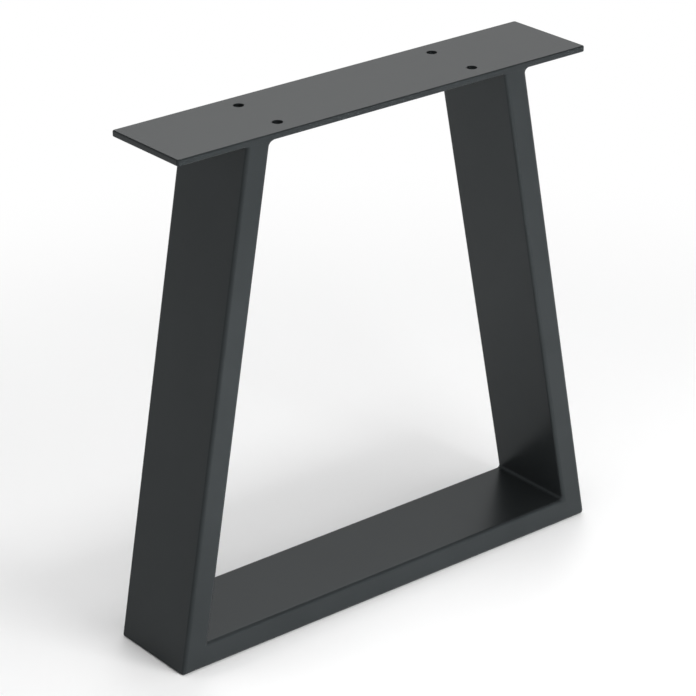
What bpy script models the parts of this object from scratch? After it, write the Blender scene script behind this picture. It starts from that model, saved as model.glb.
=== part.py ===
"""Table leg: a tapered frame of flat steel tube welded under a drilled steel top plate.

The leg stands on the floor plane with the origin at the middle of its foot. Its width
runs along X, its depth along Y and its height along Z. All sizes are in metres.
"""

import math

import bmesh
import bpy
from mathutils import Vector

# Frame outline, over the outer faces of the tubes
FOOT_WIDTH = 0.405
HEAD_WIDTH = 0.260
FRAME_HEIGHT = 0.400

# Flat tube of the legs and the foot bar
TUBE_DEPTH = 0.080
TUBE_THICKNESS = 0.020
TUBE_WALL = 0.002
TUBE_OUTER_RADIUS = 0.003
TUBE_INNER_RADIUS_SHARE = 1 / 3

# Top plate, flush with the tube at the front and the back
PLATE_LENGTH = 0.380
PLATE_THICKNESS = 0.005
PLATE_CORNER_RADIUS = 0.002
PLATE_ARRIS_RADIUS = 0.0005

# Screw holes through the top plate
HOLE_DIAMETER = 0.008
HOLE_SPACING_X = 0.182
HOLE_SPACING_Y = 0.046

# Weld beads under the plate and in the inner corners, and the ground outer corners
PLATE_WELD_SIZE = 0.004
CORNER_WELD_SIZE = 0.003
WELD_RIPPLE_PITCH = 0.004
WELD_RIPPLE_SHARE = 0.10
WELD_BULGE_SHARE = 0.12
CORNER_GRIND_RADIUS = 0.002

# Gap left between pieces, and how far every cut runs past what it cuts
JOINT_GAP = 0.0003
CUT_OVERRUN = 0.010

# Facets of round forms, and the distance at which a solid's loose caps are welded
TUBE_CORNER_STEPS = 6
PLATE_CORNER_STEPS = 5
ARRIS_STEPS = 3
HOLE_STEPS = 32
GRIND_STEPS = 8
BULGE_STEPS = 4
STEPS_PER_RIPPLE = 3
CAP_WELD_DISTANCE = 0.00001
SHARP_ANGLE = math.radians(30)

# Finish of the steel under its satin powder coat
COAT_COLOUR = (0.030, 0.032, 0.033, 1.0)
COAT_ROUGHNESS = 0.45
COAT_METALLIC = 0.0

# Angle of a leg off the vertical, and of the mitre cut off the floor
LEAN = math.atan((FOOT_WIDTH - HEAD_WIDTH) / 2 / FRAME_HEIGHT)
MITRE = (math.pi / 2 - LEAN) / 2

QUARTER_TURN = math.pi / 2
SIDES = {"left": 0, "right": math.pi}


def clear_scene():
    """Remove the objects that the scene opened with."""
    for item in list(bpy.context.scene.objects):
        bpy.data.objects.remove(item, do_unlink=True)


def new_collection(name):
    """Make a collection in the scene."""
    collection = bpy.data.collections.new(name)
    bpy.context.scene.collection.children.link(collection)
    return collection


def coat(name):
    """Make the satin black powder coat of one piece."""
    material = bpy.data.materials.new(name + "_coat")
    material.use_nodes = True
    shader = material.node_tree.nodes["Principled BSDF"]
    shader.inputs["Base Color"].default_value = COAT_COLOUR
    shader.inputs["Roughness"].default_value = COAT_ROUGHNESS
    shader.inputs["Metallic"].default_value = COAT_METALLIC
    return material


def rounded_rectangle(width, depth, radius, steps):
    """Points round a rectangle centred on zero with quarter-circle corners."""
    points = []
    for corner, (side_x, side_y) in enumerate([(1, 1), (-1, 1), (-1, -1), (1, -1)]):
        centre_x = side_x * (width / 2 - radius)
        centre_y = side_y * (depth / 2 - radius)
        for step in range(steps + 1):
            angle = (corner + step / steps) * QUARTER_TURN
            points.append((centre_x + radius * math.cos(angle), centre_y + radius * math.sin(angle)))
    return points


def circle(centre_x, centre_y, diameter, steps):
    """Points round a circle."""
    turns = [step / steps * 2 * math.pi for step in range(steps)]
    radius = diameter / 2
    return [(centre_x + radius * math.cos(turn), centre_y + radius * math.sin(turn)) for turn in turns]


def outline_curve(name, outlines):
    """Make a flat curve of closed outlines. An outline inside another is a hole."""
    curve = bpy.data.curves.new(name, "CURVE")
    curve.dimensions = "2D"
    curve.fill_mode = "BOTH"
    for outline in outlines:
        spline = curve.splines.new("POLY")
        spline.points.add(len(outline) - 1)
        for point, (x, y) in zip(spline.points, outline):
            point.co = (x, y, 0, 1)
        spline.use_cyclic_u = True
    return curve


def mesh_from_curve(curve, collection):
    """Turn a curve into an object with a closed mesh and put it in the collection."""
    drawn = bpy.data.objects.new(curve.name, curve)
    collection.objects.link(drawn)
    evaluated = drawn.evaluated_get(bpy.context.evaluated_depsgraph_get())
    mesh = bpy.data.meshes.new_from_object(evaluated)
    name = curve.name
    bpy.data.objects.remove(drawn, do_unlink=True)
    bpy.data.curves.remove(curve)

    work = bmesh.new()
    work.from_mesh(mesh)
    bmesh.ops.remove_doubles(work, verts=work.verts, dist=CAP_WELD_DISTANCE)
    bmesh.ops.recalc_face_normals(work, faces=work.faces)
    work.to_mesh(mesh)
    work.free()

    piece = bpy.data.objects.new(name, mesh)
    collection.objects.link(piece)
    return piece


def extrusion(name, outlines, height, collection):
    """Raise flat outlines to a height, half of it above and half below their plane."""
    curve = outline_curve(name, outlines)
    curve.extrude = height / 2
    return mesh_from_curve(curve, collection)


def as_cutter(shape):
    """Keep a shape out of the model and show it as wires."""
    shape.hide_render = True
    shape.display_type = "WIRE"
    return shape


def cut(piece, cutter):
    """Cut a piece with a cutter, and keep the cut live."""
    boolean = piece.modifiers.new("cut_by_" + cutter.name, "BOOLEAN")
    boolean.operation = "DIFFERENCE"
    boolean.solver = "EXACT"
    boolean.object = cutter


def place(piece, location, turn_x=0, turn_y=0, parent=None):
    """Set a piece's place in the frame of its parent."""
    piece.location = location
    piece.rotation_euler = (turn_x, turn_y, 0)
    piece.parent = parent
    return piece


def finish(piece):
    """Give a piece its coat, and smooth its round faces."""
    piece.data.materials.append(coat(piece.name))
    piece.data.shade_smooth()
    piece.data.set_sharp_from_angle(angle=SHARP_ANGLE)
    return piece


def tube(name, length, collection):
    """A length of flat tube along local Z, open at both ends."""
    inner_radius = TUBE_OUTER_RADIUS * TUBE_INNER_RADIUS_SHARE
    bore_thickness = TUBE_THICKNESS - 2 * TUBE_WALL
    bore_depth = TUBE_DEPTH - 2 * TUBE_WALL
    outer = rounded_rectangle(TUBE_THICKNESS, TUBE_DEPTH, TUBE_OUTER_RADIUS, TUBE_CORNER_STEPS)
    inner = rounded_rectangle(bore_thickness, bore_depth, inner_radius, TUBE_CORNER_STEPS)
    return extrusion(name, [outer, inner], length, collection)


def tube_clearance(name, length, collection):
    """The outer form of the tube, grown by the joint gap."""
    thickness = TUBE_THICKNESS + 2 * JOINT_GAP
    depth = TUBE_DEPTH + 2 * JOINT_GAP
    radius = TUBE_OUTER_RADIUS + JOINT_GAP
    outline = rounded_rectangle(thickness, depth, radius, TUBE_CORNER_STEPS)
    return as_cutter(extrusion(name, [outline], length, collection))


def block(name, size, collection):
    """A box centred on its own origin, for cutting."""
    bpy.ops.mesh.primitive_cube_add(size=1)
    box = bpy.context.object
    box.name = name
    box.data.name = name
    box.scale = size
    bpy.ops.object.transform_apply(location=False, rotation=False, scale=True)
    for holder in list(box.users_collection):
        holder.objects.unlink(box)
    collection.objects.link(box)
    return as_cutter(box)


def leg_middle():
    """The middle of the left leg's centre line."""
    outer_face_x = -(FOOT_WIDTH + HEAD_WIDTH) / 4
    inward = TUBE_THICKNESS / 2
    middle_x = outer_face_x + inward * math.cos(LEAN)
    middle_z = FRAME_HEIGHT / 2 - inward * math.sin(LEAN)
    return Vector((middle_x, 0, middle_z))


def leg_blank_length():
    """Length of a leg's tube before its ends are cut."""
    outer_edge = FRAME_HEIGHT / math.cos(LEAN)
    return outer_edge + 2 * (TUBE_THICKNESS * math.tan(LEAN) + CUT_OVERRUN)


def mitre_cutter(name, above, parent, collection):
    """A box with one face on the left corner's mitre, half a joint gap off it."""
    reach = TUBE_THICKNESS / math.tan(MITRE) + TUBE_THICKNESS * math.tan(LEAN) + 2 * CUT_OVERRUN
    length = 2 * (TUBE_THICKNESS / math.sin(MITRE) + CUT_OVERRUN)
    box = block(name, (length, TUBE_DEPTH + 2 * CUT_OVERRUN, reach), collection)
    normal = Vector((-math.sin(MITRE), 0, math.cos(MITRE)))
    side = 1 if above else -1
    outer_corner = Vector((-FOOT_WIDTH / 2, 0, 0))
    along = Vector((math.cos(MITRE), 0, math.sin(MITRE))) * (TUBE_THICKNESS / math.sin(MITRE) / 2)
    centre = outer_corner + along + normal * side * (reach / 2 - JOINT_GAP / 2)
    return place(box, centre, turn_y=-MITRE, parent=parent)


def head_cutter(name, parent, collection):
    """A box that cuts a leg level just under the top plate."""
    height = 2 * (CUT_OVERRUN + TUBE_THICKNESS * math.tan(LEAN))
    width = TUBE_THICKNESS / math.cos(LEAN) + 2 * (height * math.tan(LEAN) + CUT_OVERRUN)
    box = block(name, (width, TUBE_DEPTH + 2 * CUT_OVERRUN, height), collection)
    centre_x = -HEAD_WIDTH / 2 + TUBE_THICKNESS / math.cos(LEAN) / 2
    return place(box, (centre_x, 0, FRAME_HEIGHT - JOINT_GAP + height / 2), parent=parent)


def corner_cutter(name, parent, collection):
    """The waste outside the ground radius of the left outer corner."""
    opening = QUARTER_TURN - LEAN
    corner = Vector((-FOOT_WIDTH / 2, 0))
    along_floor = Vector((1, 0))
    along_leg = Vector((math.sin(LEAN), math.cos(LEAN)))
    off_floor = Vector((0, -1))
    off_leg = Vector((-math.cos(LEAN), math.sin(LEAN)))
    to_tangent = CORNER_GRIND_RADIUS / math.tan(opening / 2)
    centre = corner + along_floor * to_tangent - off_floor * CORNER_GRIND_RADIUS
    sweep = math.pi - opening
    outline = []
    for step in range(GRIND_STEPS + 1):
        angle = -QUARTER_TURN - step / GRIND_STEPS * sweep
        outline.append(centre + CORNER_GRIND_RADIUS * Vector((math.cos(angle), math.sin(angle))))
    outline.append(corner + along_leg * to_tangent + off_leg * CUT_OVERRUN)
    outline.append(corner + (off_leg + off_floor) * CUT_OVERRUN)
    outline.append(corner + along_floor * to_tangent + off_floor * CUT_OVERRUN)
    waste = extrusion(name, [outline], TUBE_DEPTH + 2 * CUT_OVERRUN, collection)
    return place(as_cutter(waste), (0, 0, 0), turn_x=QUARTER_TURN, parent=parent)


def bead_section(opening, size):
    """Outline of a fillet bead whose root is at zero, first face along X, second at the opening.

    It reaches behind both faces by the tube's corner radius, so that it also fills the
    groove at the tube's rounded corners once the pieces beside it are cut out.
    """
    behind = TUBE_OUTER_RADIUS
    along_second = Vector((math.cos(opening), math.sin(opening)))
    off_second = Vector((-math.sin(opening), math.cos(opening)))
    first_toe = Vector((size, 0))
    second_toe = along_second * size
    chord = second_toe - first_toe
    bulge = Vector((chord.y, -chord.x)) * WELD_BULGE_SHARE
    outline = []
    for step in range(BULGE_STEPS + 1):
        share = step / BULGE_STEPS
        outline.append(first_toe + chord * share + bulge * math.sin(share * math.pi))
    slide = -behind * (1 + math.cos(opening)) / math.sin(opening)
    outline.append(second_toe + off_second * behind)
    outline.append(off_second * behind + along_second * slide)
    outline.append(first_toe - Vector((0, behind)))
    return outline


def weld_bead(name, opening, size, collection, cutters):
    """A rippled fillet bead along local Y, across the whole depth of the tube."""
    outline = outline_curve(name + "_section", [bead_section(opening, size)])
    section = bpy.data.objects.new(outline.name, outline)
    cutters.objects.link(section)
    ripples = round(TUBE_DEPTH / WELD_RIPPLE_PITCH)
    stations = ripples * STEPS_PER_RIPPLE
    path = bpy.data.curves.new(name, "CURVE")
    path.dimensions = "3D"
    path.bevel_mode = "OBJECT"
    path.bevel_object = section
    path.use_fill_caps = True
    spline = path.splines.new("POLY")
    spline.points.add(stations)
    for station, point in enumerate(spline.points):
        point.co = (0, TUBE_DEPTH * (station / stations - 1 / 2), 0, 1)
        ripple = (station % STEPS_PER_RIPPLE) / STEPS_PER_RIPPLE
        point.radius = 1 - WELD_RIPPLE_SHARE * ripple
    bead = mesh_from_curve(path, collection)
    bpy.data.objects.remove(section, do_unlink=True)
    return bead


def build_side(side, turn, model, cutters, root, bar, plate_clearance, bar_clearance):
    """Build the leg and the welds of one side. The right side is the left one turned about Z."""
    frame = bpy.data.objects.new(side + "_side", None)
    model.objects.link(frame)
    frame.rotation_euler = (0, 0, turn)
    frame.parent = root

    middle = leg_middle()
    length = leg_blank_length()
    leg = place(tube(side + "_leg", length, model), middle, turn_y=LEAN, parent=frame)
    corner = corner_cutter(side + "_corner_waste", frame, cutters)
    cut(leg, mitre_cutter(side + "_leg_mitre", False, frame, cutters))
    cut(leg, head_cutter(side + "_head_cut", frame, cutters))
    cut(leg, corner)
    cut(bar, mitre_cutter(side + "_bar_mitre", True, frame, cutters))
    cut(bar, corner)
    finish(leg)

    leg_clearance = tube_clearance(side + "_leg_clearance", length, cutters)
    place(leg_clearance, middle, turn_y=LEAN, parent=frame)
    level_thickness = TUBE_THICKNESS / math.cos(LEAN)
    outer_top = Vector((-HEAD_WIDTH / 2, 0, FRAME_HEIGHT))
    inner_top = outer_top + Vector((level_thickness, 0, 0))
    inner_foot_x = -FOOT_WIDTH / 2 + level_thickness + TUBE_THICKNESS * math.tan(LEAN)
    inner_foot = Vector((inner_foot_x, 0, TUBE_THICKNESS))
    acute = QUARTER_TURN - LEAN
    obtuse = QUARTER_TURN + LEAN
    beads = [
        ("_outer_weld", acute, PLATE_WELD_SIZE, outer_top, -math.pi, plate_clearance),
        ("_inner_weld", obtuse, PLATE_WELD_SIZE, inner_top, obtuse, plate_clearance),
        ("_corner_weld", acute, CORNER_WELD_SIZE, inner_foot, 0, bar_clearance),
    ]
    for ending, opening, size, corner_place, turn_y, neighbour in beads:
        bead = weld_bead(side + ending, opening, size, model, cutters)
        place(bead, corner_place, turn_y=turn_y, parent=frame)
        cut(bead, leg_clearance)
        cut(bead, neighbour)
        finish(bead)


def build_plate(model, root):
    """The top plate with its screw holes."""
    outlines = [rounded_rectangle(PLATE_LENGTH, TUBE_DEPTH, PLATE_CORNER_RADIUS, PLATE_CORNER_STEPS)]
    for side_x in (-1, 1):
        for side_y in (-1, 1):
            centre_x = side_x * HOLE_SPACING_X / 2
            centre_y = side_y * HOLE_SPACING_Y / 2
            outlines.append(circle(centre_x, centre_y, HOLE_DIAMETER, HOLE_STEPS))
    plate = extrusion("top_plate", outlines, PLATE_THICKNESS, model)
    place(plate, (0, 0, FRAME_HEIGHT + PLATE_THICKNESS / 2), parent=root)
    arris = plate.modifiers.new("arris", "BEVEL")
    arris.width = PLATE_ARRIS_RADIUS
    arris.segments = ARRIS_STEPS
    arris.limit_method = "ANGLE"
    arris.angle_limit = SHARP_ANGLE
    arris.harden_normals = True
    return finish(plate)


def build():
    """Build the whole leg."""
    clear_scene()
    model = new_collection("table_leg")
    cutters = new_collection("cutters")
    root = bpy.data.objects.new("table_leg_frame", None)
    model.objects.link(root)

    build_plate(model, root)
    foot_length = FOOT_WIDTH + 2 * CUT_OVERRUN
    foot_place = (0, 0, TUBE_THICKNESS / 2)
    bar = place(tube("foot_bar", foot_length, model), foot_place, turn_y=QUARTER_TURN, parent=root)
    bar_clearance = tube_clearance("foot_bar_clearance", foot_length, cutters)
    place(bar_clearance, foot_place, turn_y=QUARTER_TURN, parent=root)
    plate_size = (
        PLATE_LENGTH + 2 * CUT_OVERRUN,
        TUBE_DEPTH + 2 * CUT_OVERRUN,
        PLATE_THICKNESS + 2 * JOINT_GAP,
    )
    plate_clearance = block("plate_clearance", plate_size, cutters)
    place(plate_clearance, (0, 0, FRAME_HEIGHT + PLATE_THICKNESS / 2), parent=root)
    for side, turn in SIDES.items():
        build_side(side, turn, model, cutters, root, bar, plate_clearance, bar_clearance)
    finish(bar)


build()
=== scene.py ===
"""Table leg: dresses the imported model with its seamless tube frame, its welds and its coat.

All sizes are in metres. The origin is the middle of the foot, with the width along X, the
tube's depth along Y and the height along Z.
"""

import math

import bmesh
import bpy
from mathutils import Matrix, Vector


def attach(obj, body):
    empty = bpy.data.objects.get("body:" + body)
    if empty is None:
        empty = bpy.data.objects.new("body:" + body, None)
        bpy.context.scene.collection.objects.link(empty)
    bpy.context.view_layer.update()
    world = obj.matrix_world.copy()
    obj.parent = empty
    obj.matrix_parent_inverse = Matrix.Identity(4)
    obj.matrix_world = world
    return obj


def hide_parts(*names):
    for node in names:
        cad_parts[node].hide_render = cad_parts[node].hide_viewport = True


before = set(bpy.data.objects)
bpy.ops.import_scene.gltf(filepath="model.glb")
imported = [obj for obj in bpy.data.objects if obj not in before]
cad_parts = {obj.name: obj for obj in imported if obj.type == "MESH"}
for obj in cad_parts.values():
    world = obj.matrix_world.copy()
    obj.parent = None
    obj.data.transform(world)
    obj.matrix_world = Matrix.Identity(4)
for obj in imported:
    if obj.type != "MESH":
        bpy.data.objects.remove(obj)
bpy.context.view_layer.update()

# Frame outline, over the outer faces of the tubes
FOOT_WIDTH = 0.405
HEAD_WIDTH = 0.260
FRAME_HEIGHT = 0.400
LEAN = math.atan((FOOT_WIDTH - HEAD_WIDTH) / 2 / FRAME_HEIGHT)
MITRE = (math.pi / 2 - LEAN) / 2

# Flat tube of the legs and the foot bar
TUBE_DEPTH = 0.080
TUBE_THICKNESS = 0.020
TUBE_WALL = 0.002
TUBE_OUTER_RADIUS = 0.003
TUBE_INNER_RADIUS = 0.001
TUBE_CORNER_STEPS = 12
TUBE_STATIONS = 16

# Foot corners, ground round after welding
GROUND_RADIUS = {"left": 0.0012, "right": 0.0028}
GRIND_STEPS = 10
GRIND_SPACING = 0.0002

# Top plate, and the stretches of its lower edge that are ground flush with the legs
PLATE_LENGTH = 0.380
PLATE_THICKNESS = 0.005
PLATE_CORNER_RADIUS = 0.002
PLATE_ARRIS_RADIUS = 0.0012
PLATE_FLUSH_RADIUS = 0.00004
PLATE_CORNER_STEPS = 8
PLATE_ARRIS_STEPS = 8
PLATE_EDGE_SPACING = 0.0005
FLUSH_OVERRUN = 0.0020
FLUSH_FADE = 0.0010
HOLE_DIAMETER = 0.008
HOLE_SPACING = (0.182, 0.046)
HOLE_STEPS = 64
HOLE_DEBURR = 0.0003
HOLE_DEBURR_STEPS = 3

# Weld beads: reach along each face, share of it left at an end that tapers, ripples and wander
PLATE_WELD_REACH = 0.0040
CORNER_WELD_REACH = 0.0028
WELD_TAPER_SHARE = 0.3
WELD_TAPER_LENGTH = 0.009
WELD_DEPTH = 0.0003
WELD_END_SETBACK = 0.00001
WELD_ACROSS_STEPS = 14
WELD_STATIONS = 190
WELD_END_STATIONS = 12
WELD_RIPPLE_PITCH = 0.0026
WELD_RIPPLE_HEIGHT = 0.00009
WELD_RIPPLE_BOW = 0.0016
WELD_RIPPLE_DRIFT = 0.12
WELD_RIPPLE_FULLNESS = 0.6
WELD_SWAY = 0.07
WELD_SWAY_LENGTH = 0.017
WELD_SWAY_WAVES = ((1, 1), (1.7, 2.3), (2.9, 0.7))
WELD_CONCAVITY = 0.85

# Camera, found from the straight edges in the photograph
CAMERA_PLACE = Vector((-1.23635, -1.54308, 1.09720))
CAMERA_FORWARD = Vector((0.56560, 0.71246, -0.41533))
CAMERA_ROLL = math.radians(-0.667)
CAMERA_LENS = 147.52
SENSOR_WIDTH = 36

# Floor, which fades into the white backdrop with the distance from the leg
FLOOR_RADIUS = 12.0
FLOOR_STEPS = 96
FLOOR_DROP = 0.0001
FLOOR_COLOUR = (0.92, 0.92, 0.92, 1)
FLOOR_ROUGHNESS = 0.9
BACKDROP_START = 0.28
BACKDROP_END = 0.90
WHITE = (1, 1, 1, 1)

# White wall all round, under a dark ceiling
WALL_TOP = math.radians(23)
CEILING_FOOT = math.radians(35)
WALL_STRENGTH = 1.0
CEILING_STRENGTH = 0.03

# Lamps: azimuth, elevation, distance, size, power, aim, and whether the coat mirrors them
AIM = Vector((0, 0, 0.2))
LOW_AIM = Vector((-0.14, 0, 0.04))
SOFTBOXES = {
    "overhead_softbox": (0, 89, 2.2, (2.0, 2.0), 36, AIM, True),
    "low_softbox": (12, 5, 1.0, (0.5, 0.14), 23, LOW_AIM, False),
    "front_softbox": (26, 20, 2.4, (1.6, 0.8), 4, AIM, False),
    "back_softbox": (141, 41, 3.0, (1.4, 1.2), 15, AIM, True),
}

# Black powder coat: colours of its mottling, gloss, and roughness and relief by where it lies
COAT_COLOUR = (0.0098, 0.0110, 0.0115, 1)
COAT_PALE_COLOUR = (0.0145, 0.0162, 0.0170, 1)
COAT_GLOSS = 0.16
COAT_SHEEN_TINT = (0.82, 0.96, 1.00, 1)
COAT_ROUGHNESS = 0.30
COAT_RELIEF = 0.00001
WELD_COAT_ROUGHNESS = 0.50
WELD_COAT_RELIEF = 0.00002
ROUGHNESS_SWING = 0.03

# Powder grain: orange peel with a finer grain, and a cloudy mottle
PEEL_SCALE = 320
PEEL_DETAIL = 2
GRAIN_SCALE = 2600
GRAIN_DETAIL = 1
GRAIN_SHARE = 0.35
MOTTLE_SCALE = 28
MOTTLE_DETAIL = 4
MOTTLE_ROUGHNESS = 0.6

# Shading of the rounded edges
SMOOTH_ANGLE = math.radians(35)
FLAT_FACE_WEIGHT = 100


def new_object(name, shape):
    """Put a finished bmesh in the scene as a named object."""
    mesh = bpy.data.meshes.new(name)
    shape.to_mesh(mesh)
    shape.free()
    piece = bpy.data.objects.new(name, mesh)
    bpy.context.scene.collection.objects.link(piece)
    return piece


def smooth(piece):
    """Shade a piece smooth, with its large flat faces kept flat."""
    piece.data.shade_smooth()
    piece.data.set_sharp_from_angle(angle=SMOOTH_ANGLE)
    weighting = piece.modifiers.new("flat_faces_first", "WEIGHTED_NORMAL")
    weighting.keep_sharp = True
    weighting.weight = FLAT_FACE_WEIGHT
    return piece


def bridge(shape, first, second):
    """Join two closed rings of vertices with quads."""
    count = len(first)
    for index in range(count):
        after = (index + 1) % count
        shape.faces.new((first[index], first[after], second[after], second[index]))


def tube_section(thickness, depth, radius, inset):
    """Places round a flat tube: inset from the outer face, depth, and share facing outwards."""
    places = []
    for corner, (side_inset, side_depth) in enumerate([(1, 1), (-1, 1), (-1, -1), (1, -1)]):
        centre_inset = inset + thickness / 2 + side_inset * (thickness / 2 - radius)
        centre_depth = side_depth * (depth / 2 - radius)
        for step in range(TUBE_CORNER_STEPS + 1):
            angle = (corner + step / TUBE_CORNER_STEPS) * math.pi / 2
            outward = max(0.0, -math.cos(angle))
            places.append((
                centre_inset + radius * math.cos(angle),
                centre_depth + radius * math.sin(angle),
                outward,
            ))
    return places


def corner_station(place, radius, step):
    """A place near a foot corner: distance along the outer face from the corner, and inset."""
    inset, _, outward = place
    turn = (math.pi / 2 - MITRE) * step / GRIND_STEPS
    rounding = radius * outward
    along = inset / math.tan(MITRE) + rounding * (1 / math.tan(MITRE) - math.sin(turn))
    along += (1 - outward) * GRIND_SPACING * (GRIND_STEPS - step)
    return along, inset + rounding * (1 - math.cos(turn))


def on_leg(along, inset, depth):
    """A point of the left leg from its distance up the outer face, its inset and its depth."""
    x = -FOOT_WIDTH / 2 + along * math.sin(LEAN) + inset * math.cos(LEAN)
    return Vector((x, depth, along * math.cos(LEAN) - inset * math.sin(LEAN)))


def on_bar(along, inset, depth):
    """A point of the foot bar from its distance from the left corner, its inset and its depth."""
    return Vector((-FOOT_WIDTH / 2 + along, depth, inset))


def half_frame(section, radius):
    """Rings of points from the head of the left leg to the middle of the foot bar."""
    rings = []
    for station in range(TUBE_STATIONS):
        share = station / TUBE_STATIONS
        ring = []
        for place in section:
            inset, depth, _ = place
            head = (FRAME_HEIGHT + inset * math.sin(LEAN)) / math.cos(LEAN)
            foot, _ = corner_station(place, radius, 0)
            ring.append(on_leg(head + (foot - head) * share, inset, depth))
        rings.append(ring)
    for step in range(GRIND_STEPS + 1):
        rings.append([on_leg(*corner_station(place, radius, step), place[1]) for place in section])
    for step in range(GRIND_STEPS - 1, -1, -1):
        rings.append([on_bar(*corner_station(place, radius, step), place[1]) for place in section])
    for station in range(1, TUBE_STATIONS + 1):
        share = station / TUBE_STATIONS
        ring = []
        for place in section:
            start, inset = corner_station(place, radius, 0)
            ring.append(on_bar(start + (FOOT_WIDTH / 2 - start) * share, inset, place[1]))
        rings.append(ring)
    return rings


def whole_frame(section):
    """Rings of points from the head of the left leg, round the foot, to the head of the right."""
    left = half_frame(section, GROUND_RADIUS["left"])
    right = half_frame(section, GROUND_RADIUS["right"])
    mirrored = [[Vector((-x, y, z)) for x, y, z in ring] for ring in reversed(right[:-1])]
    return left + mirrored


def build_tube_frame():
    """The two legs and the foot bar as one hollow frame, as the ground welds make them."""
    bore_thickness = TUBE_THICKNESS - 2 * TUBE_WALL
    bore_depth = TUBE_DEPTH - 2 * TUBE_WALL
    outer = tube_section(TUBE_THICKNESS, TUBE_DEPTH, TUBE_OUTER_RADIUS, 0)
    bore = [
        (inset, depth, 0.0)
        for inset, depth, _ in tube_section(bore_thickness, bore_depth, TUBE_INNER_RADIUS, TUBE_WALL)
    ]
    shape = bmesh.new()
    skins = []
    for section in (outer, bore):
        rings = [[shape.verts.new(point) for point in ring] for ring in whole_frame(section)]
        for first, second in zip(rings, rings[1:]):
            bridge(shape, first, second)
        skins.append(rings)
    for end in (0, -1):
        bridge(shape, skins[0][end], skins[1][end])
    bmesh.ops.recalc_face_normals(shape, faces=shape.faces)
    return smooth(new_object("welded_tube_frame", shape))


def spread(start, end, spacing):
    """Values from start up to end, not more than the spacing apart, without the end."""
    count = max(1, math.ceil(abs(end - start) / spacing))
    return [start + (end - start) * index / count for index in range(count)]


def plate_edge(start, end, y, outward):
    """Points and outward directions along a long edge of the plate."""
    return [(Vector((x, y)), Vector((0, outward))) for x in spread(start, end, PLATE_EDGE_SPACING)]


def plate_corner(x, y, quarter):
    """Points and outward directions round a corner of the plate, through one quarter turn."""
    turns = [(quarter + step / PLATE_CORNER_STEPS) * math.pi / 2 for step in range(PLATE_CORNER_STEPS)]
    return [(Vector((x, y)), Vector((math.cos(turn), math.sin(turn)))) for turn in turns]


def plate_outline():
    """Points and outward directions round the plate, from the front left corner."""
    reach_x = PLATE_LENGTH / 2 - PLATE_CORNER_RADIUS
    reach_y = TUBE_DEPTH / 2 - PLATE_CORNER_RADIUS
    outline = plate_edge(-reach_x, reach_x, -reach_y, -1)
    outline += plate_corner(reach_x, -reach_y, 3)
    outline += plate_corner(reach_x, reach_y, 0)
    outline += plate_edge(reach_x, -reach_x, reach_y, 1)
    outline += plate_corner(-reach_x, reach_y, 1)
    outline += plate_corner(-reach_x, -reach_y, 2)
    return outline


def flush_share(x):
    """How far the plate's lower edge is ground flush with a leg, from 0 to 1."""
    middle = HEAD_WIDTH / 2 - TUBE_THICKNESS / math.cos(LEAN) / 2
    reach = TUBE_THICKNESS / math.cos(LEAN) / 2 + FLUSH_OVERRUN
    share = (reach - abs(abs(x) - middle)) / FLUSH_FADE
    return min(1.0, max(0.0, share))


def plate_ring(outline, height, turn, lower):
    """A ring of the plate's edge. The turn runs from 0 on the edge face to 1 on the flat face."""
    ring = []
    angle = turn * math.pi / 2
    side = -1 if lower else 1
    for centre, outward in outline:
        share = flush_share(centre.x) if lower else 0.0
        radius = PLATE_ARRIS_RADIUS + (PLATE_FLUSH_RADIUS - PLATE_ARRIS_RADIUS) * share
        place = centre + outward * (PLATE_CORNER_RADIUS - radius * (1 - math.cos(angle)))
        ring.append(Vector((place.x, place.y, height - side * radius * (1 - math.sin(angle)))))
    return ring


def hole_ring(centre, growth, height):
    """A ring of a screw hole."""
    radius = HOLE_DIAMETER / 2 + growth
    ring = []
    for step in range(HOLE_STEPS):
        turn = step / HOLE_STEPS * 2 * math.pi
        x = centre.x + radius * math.cos(turn)
        y = centre.y + radius * math.sin(turn)
        ring.append(Vector((x, y, height)))
    return ring


def hole_rings(centre, low, high):
    """Rings of a screw hole from its upper rim to its lower rim, both deburred."""
    upper = []
    for step in range(HOLE_DEBURR_STEPS + 1):
        angle = step / HOLE_DEBURR_STEPS * math.pi / 2
        growth = HOLE_DEBURR * (1 - math.sin(angle))
        drop = HOLE_DEBURR * (1 - math.cos(angle))
        upper.append((growth, drop))
    rings = [hole_ring(centre, growth, high - drop) for growth, drop in upper]
    rings += [hole_ring(centre, growth, low + drop) for growth, drop in reversed(upper)]
    return rings


def edges_of(ring):
    """The edges between the vertices of a closed ring."""
    edges = []
    for index, vertex in enumerate(ring):
        after = ring[(index + 1) % len(ring)]
        edges.append(next(edge for edge in vertex.link_edges if after in edge.verts))
    return edges


def add_hole(shape, centre):
    """Add the wall of a screw hole to the plate, and give the edges of its two rims."""
    loops = hole_rings(centre, FRAME_HEIGHT, FRAME_HEIGHT + PLATE_THICKNESS)
    bore = [[shape.verts.new(point) for point in loop] for loop in loops]
    for first, second in zip(bore, bore[1:]):
        bridge(shape, first, second)
    return edges_of(bore[0]), edges_of(bore[-1])


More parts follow.
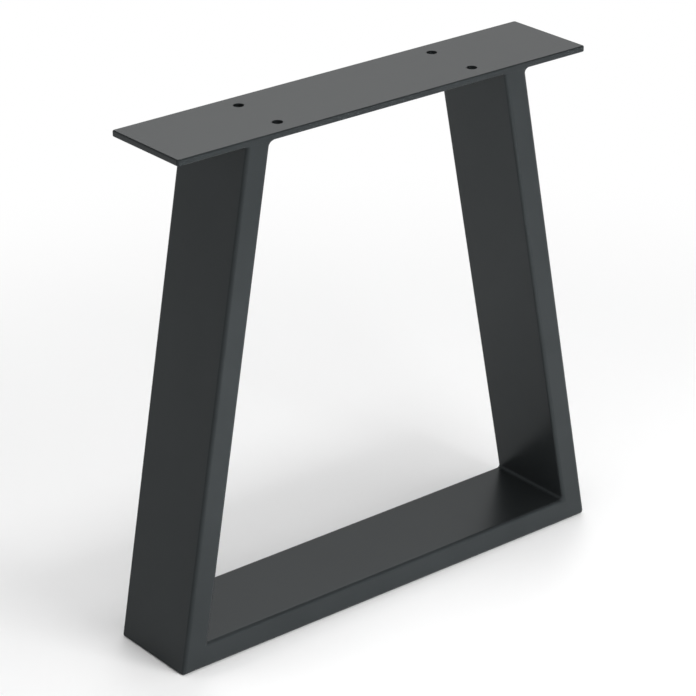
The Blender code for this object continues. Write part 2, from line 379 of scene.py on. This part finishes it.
def build_top_plate():
    """The drilled top plate with its rounded edges, left square where a leg is ground flush."""
    low = FRAME_HEIGHT
    high = FRAME_HEIGHT + PLATE_THICKNESS
    outline = plate_outline()
    steps = [step / PLATE_ARRIS_STEPS for step in range(PLATE_ARRIS_STEPS + 1)]
    loops = [plate_ring(outline, low, turn, True) for turn in reversed(steps)]
    loops += [plate_ring(outline, high, turn, False) for turn in steps]

    shape = bmesh.new()
    rings = [[shape.verts.new(point) for point in loop] for loop in loops]
    for first, second in zip(rings, rings[1:]):
        bridge(shape, first, second)
    lower_edges = edges_of(rings[0])
    upper_edges = edges_of(rings[-1])
    for side_x in (-1, 1):
        for side_y in (-1, 1):
            centre = Vector((side_x * HOLE_SPACING[0] / 2, side_y * HOLE_SPACING[1] / 2))
            upper_rim, lower_rim = add_hole(shape, centre)
            upper_edges += upper_rim
            lower_edges += lower_rim
    for edges in (lower_edges, upper_edges):
        bmesh.ops.triangle_fill(shape, use_beauty=True, use_dissolve=False, edges=edges)
    bmesh.ops.recalc_face_normals(shape, faces=shape.faces)
    return smooth(new_object("drilled_top_plate", shape))


def sway(place, seed):
    """A slow smooth wander along a bead, about 1 at its largest."""
    turn = place / WELD_SWAY_LENGTH * 2 * math.pi
    waves = [math.sin(turn * pace + seed * start) for pace, start in WELD_SWAY_WAVES]
    return sum(waves) / len(waves)


def ripple(place, across, seed):
    """Height of the weld's crescent ripples at a place along the bead and across it."""
    bow = WELD_RIPPLE_BOW * (1 - (2 * across - 1) ** 2)
    phase = (place + bow) / WELD_RIPPLE_PITCH + WELD_RIPPLE_DRIFT * sway(place, seed + 1)
    rise = phase - math.floor(phase)
    return math.sin(rise * math.pi) ** WELD_RIPPLE_FULLNESS * math.sin(across * math.pi)


def recess(place):
    """How far a wide face of the tube has rounded away at a place along its depth."""
    past_flat = abs(place) - (TUBE_DEPTH / 2 - TUBE_OUTER_RADIUS)
    if past_flat <= 0:
        return 0.0
    return TUBE_OUTER_RADIUS - math.sqrt(TUBE_OUTER_RADIUS ** 2 - past_flat ** 2)


def bead_stations():
    """Places along a bead from front to back, close together where the tube rounds away."""
    flat = TUBE_DEPTH / 2 - TUBE_OUTER_RADIUS
    middle = [flat * (2 * station / WELD_STATIONS - 1) for station in range(WELD_STATIONS + 1)]
    turns = [step / WELD_END_STATIONS * math.pi / 2 for step in range(1, WELD_END_STATIONS + 1)]
    end = [flat + (TUBE_OUTER_RADIUS - WELD_END_SETBACK) * math.sin(turn) for turn in turns]
    return [-place for place in reversed(end)] + middle + end


def bead_reach(full, ends, place, seed):
    """Reach of a bead at a place, with its wander and with the ends that taper."""
    front, back = ends
    share = front if place < 0 else back
    inside = min(1.0, (TUBE_DEPTH / 2 - abs(place)) / WELD_TAPER_LENGTH)
    ease = inside * inside * (3 - 2 * inside)
    return full * (1 + WELD_SWAY * sway(place, seed)) * (share + (1 - share) * ease)


def bead_ring(corner, reach, place, seed):
    """One section of a bead: its outer face, then its back just inside the steel."""
    root, first, second, into_first, into_second, second_rounds = corner
    opening = first.angle(second)
    receded = recess(place) / math.sin(opening)
    root = root - second * receded
    if second_rounds:
        root = root - first * receded
    toe_first = root + first * reach
    toe_second = root + second * reach
    middle = (first + second).normalized()
    radius = reach * math.tan(opening / 2)
    centre = root + middle * (radius / math.sin(opening / 2))
    start = toe_first - centre
    sweep = math.pi - opening
    side = ((toe_second - centre) - start * math.cos(sweep)).normalized()
    points = []
    for step in range(WELD_ACROSS_STEPS + 1):
        across = step / WELD_ACROSS_STEPS
        turn = across * sweep
        hollow = centre + start * math.cos(turn) + side * radius * math.sin(turn)
        point = toe_first.lerp(toe_second, across).lerp(hollow, WELD_CONCAVITY)
        height = WELD_RIPPLE_HEIGHT * reach / PLATE_WELD_REACH
        points.append(point + middle * height * ripple(place, across, seed))
    points.append(toe_second + into_second * WELD_DEPTH)
    points.append(root + (into_first + into_second) * WELD_DEPTH)
    points.append(toe_first + into_first * WELD_DEPTH)
    return [Vector((point.x, place, point.y)) for point in points]


def build_bead(name, corner, full_reach, ends, seed):
    """A rippled weld bead in the corner of two faces, from the front to the back."""
    shape = bmesh.new()
    rings = []
    for place in bead_stations():
        ring = bead_ring(corner, bead_reach(full_reach, ends, place, seed), place, seed)
        rings.append([shape.verts.new(point) for point in ring])
    for before, after in zip(rings, rings[1:]):
        bridge(shape, before, after)
    shape.faces.new(rings[0])
    shape.faces.new(rings[-1])
    bmesh.ops.recalc_face_normals(shape, faces=shape.faces)
    return smooth(new_object(name, shape))


def bead_corners():
    """The three welded corners of the left side in X and Z: root, faces, and ways into the steel."""
    up_leg = Vector((math.sin(LEAN), math.cos(LEAN)))
    into_leg = Vector((math.cos(LEAN), -math.sin(LEAN)))
    inward = Vector((1, 0))
    up = Vector((0, 1))
    level_thickness = TUBE_THICKNESS / math.cos(LEAN)
    outer_top = Vector((-HEAD_WIDTH / 2, FRAME_HEIGHT))
    inner_top = outer_top + inward * level_thickness
    inner_foot_x = -FOOT_WIDTH / 2 + level_thickness + TUBE_THICKNESS * math.tan(LEAN)
    inner_foot = Vector((inner_foot_x, TUBE_THICKNESS))
    return {
        "outer_weld": (outer_top, -up_leg, -inward, into_leg, up, False),
        "inner_weld": (inner_top, -up_leg, inward, -into_leg, up, False),
        "corner_weld": (inner_foot, up_leg, inward, -into_leg, -up, True),
    }


def mirror_corner(corner):
    """The same corner on the right side."""
    return tuple(Vector((-part.x, part.y)) if isinstance(part, Vector) else part for part in corner)


def build_beads():
    """All six weld beads, by the name of the CAD solid that each stands for."""
    corners = bead_corners()
    tapered, full = WELD_TAPER_SHARE, 1
    runs = [
        ("left_outer_weld", PLATE_WELD_REACH, (tapered, full), 1),
        ("left_inner_weld", PLATE_WELD_REACH, (full, tapered), 2),
        ("left_corner_weld", CORNER_WELD_REACH, (tapered, full), 3),
        ("right_outer_weld", PLATE_WELD_REACH, (full, tapered), 5),
        ("right_inner_weld", PLATE_WELD_REACH, (tapered, full), 6),
        ("right_corner_weld", CORNER_WELD_REACH, (full, full), 7),
    ]
    beads = {}
    for node, reach, ends, seed in runs:
        side, ending = node.split("_", 1)
        corner = corners[ending] if side == "left" else mirror_corner(corners[ending])
        beads[node] = build_bead(node + "_bead", corner, reach, ends, seed)
    return beads


def add_socket(group, name, in_out, default=None):
    """Add a named number to a node group, as an input or an output."""
    socket = group.interface.new_socket(name=name, in_out=in_out, socket_type="NodeSocketFloat")
    if default is not None:
        socket.default_value = default


def fade(nodes, links, value, from_range, to_range):
    """A smooth fade between two values as another goes from one value to another."""
    node = nodes.new("ShaderNodeMapRange")
    node.interpolation_type = "SMOOTHSTEP"
    node.inputs["From Min"].default_value, node.inputs["From Max"].default_value = from_range
    node.inputs["To Min"].default_value, node.inputs["To Max"].default_value = to_range
    links.new(value, node.inputs["Value"])
    return node


def make_powder_grain():
    """Node group: the relief and the mottling of a cured powder coat."""
    group = bpy.data.node_groups.new("powder_grain", "ShaderNodeTree")
    add_socket(group, "Peel Scale", "INPUT", PEEL_SCALE)
    add_socket(group, "Grain Scale", "INPUT", GRAIN_SCALE)
    add_socket(group, "Grain Share", "INPUT", GRAIN_SHARE)
    add_socket(group, "Relief", "OUTPUT")
    add_socket(group, "Mottle", "OUTPUT")
    nodes, links = group.nodes, group.links
    inputs = nodes.new("NodeGroupInput")
    outputs = nodes.new("NodeGroupOutput")
    place = nodes.new("ShaderNodeTexCoord")

    peel = nodes.new("ShaderNodeTexNoise")
    peel.inputs["Detail"].default_value = PEEL_DETAIL
    grain = nodes.new("ShaderNodeTexNoise")
    grain.inputs["Detail"].default_value = GRAIN_DETAIL
    blend = nodes.new("ShaderNodeMix")
    links.new(place.outputs["Object"], peel.inputs["Vector"])
    links.new(place.outputs["Object"], grain.inputs["Vector"])
    links.new(inputs.outputs["Peel Scale"], peel.inputs["Scale"])
    links.new(inputs.outputs["Grain Scale"], grain.inputs["Scale"])
    links.new(inputs.outputs["Grain Share"], blend.inputs["Factor"])
    links.new(peel.outputs["Fac"], blend.inputs["A"])
    links.new(grain.outputs["Fac"], blend.inputs["B"])
    links.new(blend.outputs["Result"], outputs.inputs["Relief"])

    cloud = nodes.new("ShaderNodeTexNoise")
    cloud.inputs["Scale"].default_value = MOTTLE_SCALE
    cloud.inputs["Detail"].default_value = MOTTLE_DETAIL
    cloud.inputs["Roughness"].default_value = MOTTLE_ROUGHNESS
    links.new(place.outputs["Object"], cloud.inputs["Vector"])
    links.new(cloud.outputs["Fac"], outputs.inputs["Mottle"])
    return group


def coat_material(name, grain_group, roughness, relief):
    """Satin black powder coat, with its own roughness and depth of relief."""
    material = bpy.data.materials.new(name)
    material.use_nodes = True
    nodes, links = material.node_tree.nodes, material.node_tree.links
    shader = nodes["Principled BSDF"]

    grain = nodes.new("ShaderNodeGroup")
    grain.node_tree = grain_group
    colour = nodes.new("ShaderNodeMix")
    colour.data_type = "RGBA"
    colour.inputs["A"].default_value = COAT_COLOUR
    colour.inputs["B"].default_value = COAT_PALE_COLOUR
    links.new(grain.outputs["Mottle"], colour.inputs["Factor"])
    links.new(colour.outputs["Result"], shader.inputs["Base Color"])

    gloss = nodes.new("ShaderNodeMapRange")
    gloss.inputs["To Min"].default_value = roughness - ROUGHNESS_SWING
    gloss.inputs["To Max"].default_value = roughness + ROUGHNESS_SWING
    links.new(grain.outputs["Mottle"], gloss.inputs["Value"])
    links.new(gloss.outputs["Result"], shader.inputs["Roughness"])

    shader.inputs["Specular IOR Level"].default_value = COAT_GLOSS
    shader.inputs["Specular Tint"].default_value = COAT_SHEEN_TINT
    bump = nodes.new("ShaderNodeBump")
    bump.inputs["Distance"].default_value = relief
    links.new(grain.outputs["Relief"], bump.inputs["Height"])
    links.new(bump.outputs["Normal"], shader.inputs["Normal"])
    return material


def paint(piece, material):
    """Give a piece one material."""
    piece.data.materials.clear()
    piece.data.materials.append(material)


def add_piece(piece, material, slot, *nodes):
    """Coat a piece, fix it to the frame, and hide the CAD solids that it stands for."""
    paint(piece, material)
    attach(piece, "root")
    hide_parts(*nodes)


def add_camera():
    """Look at the leg from where the photograph was taken."""
    camera = bpy.data.objects.new("camera", bpy.data.cameras.new("camera"))
    camera.data.sensor_width = SENSOR_WIDTH
    camera.data.lens = CAMERA_LENS
    turn = CAMERA_FORWARD.to_track_quat("-Z", "Y").to_matrix() @ Matrix.Rotation(CAMERA_ROLL, 3, "Z")
    camera.matrix_world = Matrix.Translation(CAMERA_PLACE) @ turn.to_4x4()
    bpy.context.scene.collection.objects.link(camera)
    bpy.context.scene.camera = camera


def floor_material():
    """Pale matt paper, which runs out into a white backdrop away from the leg."""
    material = bpy.data.materials.new("pale_floor")
    material.use_nodes = True
    nodes, links = material.node_tree.nodes, material.node_tree.links
    paper = nodes["Principled BSDF"]
    paper.inputs["Base Color"].default_value = FLOOR_COLOUR
    paper.inputs["Roughness"].default_value = FLOOR_ROUGHNESS
    backdrop = nodes.new("ShaderNodeEmission")
    backdrop.inputs["Color"].default_value = WHITE

    place = nodes.new("ShaderNodeNewGeometry")
    distance = nodes.new("ShaderNodeVectorMath")
    distance.operation = "LENGTH"
    links.new(place.outputs["Position"], distance.inputs[0])
    far = fade(nodes, links, distance.outputs["Value"], (BACKDROP_START, BACKDROP_END), (0, 1))

    path = nodes.new("ShaderNodeLightPath")
    seen = path.outputs["Is Camera Ray"]
    for ray in ("Is Glossy Ray", "Is Transmission Ray"):
        either = nodes.new("ShaderNodeMath")
        either.operation = "MAXIMUM"
        links.new(seen, either.inputs[0])
        links.new(path.outputs[ray], either.inputs[1])
        seen = either.outputs["Value"]
    share = nodes.new("ShaderNodeMath")
    share.operation = "MULTIPLY"
    links.new(far.outputs["Result"], share.inputs[0])
    links.new(seen, share.inputs[1])

    mix = nodes.new("ShaderNodeMixShader")
    links.new(share.outputs["Value"], mix.inputs["Fac"])
    links.new(paper.outputs["BSDF"], mix.inputs[1])
    links.new(backdrop.outputs["Emission"], mix.inputs[2])
    links.new(mix.outputs["Shader"], nodes["Material Output"].inputs["Surface"])
    return material


def add_floor():
    """A plain pale floor."""
    shape = bmesh.new()
    bmesh.ops.create_circle(shape, cap_ends=True, radius=FLOOR_RADIUS, segments=FLOOR_STEPS)
    floor = new_object("pale_floor", shape)
    floor.location.z = -FLOOR_DROP
    paint(floor, floor_material())


def add_softbox(name, azimuth, elevation, distance, size, power, aim, mirrored):
    """A rectangular lamp. Azimuth 0 is in front of the leg, and 90 to its right."""
    lamp = bpy.data.lights.new(name, "AREA")
    lamp.shape = "RECTANGLE"
    lamp.size, lamp.size_y = size
    lamp.energy = power
    turn, rise = math.radians(azimuth), math.radians(elevation)
    level = math.cos(rise)
    toward = Vector((math.sin(turn) * level, -math.cos(turn) * level, math.sin(rise)))
    box = bpy.data.objects.new(name, lamp)
    box.location = aim + toward * distance
    box.rotation_euler = (-toward).to_track_quat("-Z", "Y").to_euler()
    box.visible_glossy = mirrored
    box.visible_camera = False
    bpy.context.scene.collection.objects.link(box)


def add_world():
    """A white wall all round, under a dark ceiling."""
    world = bpy.data.worlds.new("studio")
    world.use_nodes = True
    nodes, links = world.node_tree.nodes, world.node_tree.links
    background = nodes["Background"]
    background.inputs["Color"].default_value = WHITE
    place = nodes.new("ShaderNodeTexCoord")
    direction = nodes.new("ShaderNodeSeparateXYZ")
    links.new(place.outputs["Generated"], direction.inputs["Vector"])
    rise = (math.sin(WALL_TOP), math.sin(CEILING_FOOT))
    glow = fade(nodes, links, direction.outputs["Z"], rise, (WALL_STRENGTH, CEILING_STRENGTH))
    links.new(glow.outputs["Result"], background.inputs["Strength"])
    bpy.context.scene.world = world


def dress():
    """Build and coat every piece of the leg."""
    grain = make_powder_grain()
    tube_coat = coat_material("satin_black_tube_coat", grain, COAT_ROUGHNESS, COAT_RELIEF)
    plate_coat = coat_material("satin_black_plate_coat", grain, COAT_ROUGHNESS, COAT_RELIEF)
    weld_coat = coat_material("satin_black_weld_coat", grain, WELD_COAT_ROUGHNESS, WELD_COAT_RELIEF)
    add_piece(build_tube_frame(), tube_coat, "tube_coat", "left_leg", "foot_bar", "right_leg")
    add_piece(build_top_plate(), plate_coat, "plate_coat", "top_plate")
    for node, bead in build_beads().items():
        add_piece(bead, weld_coat, "weld_coat", node)


def light():
    """Set up the studio."""
    bpy.context.scene.view_settings.view_transform = "Standard"
    add_world()
    for name, settings in SOFTBOXES.items():
        add_softbox(name, *settings)


add_camera()
dress()
add_floor()
light()
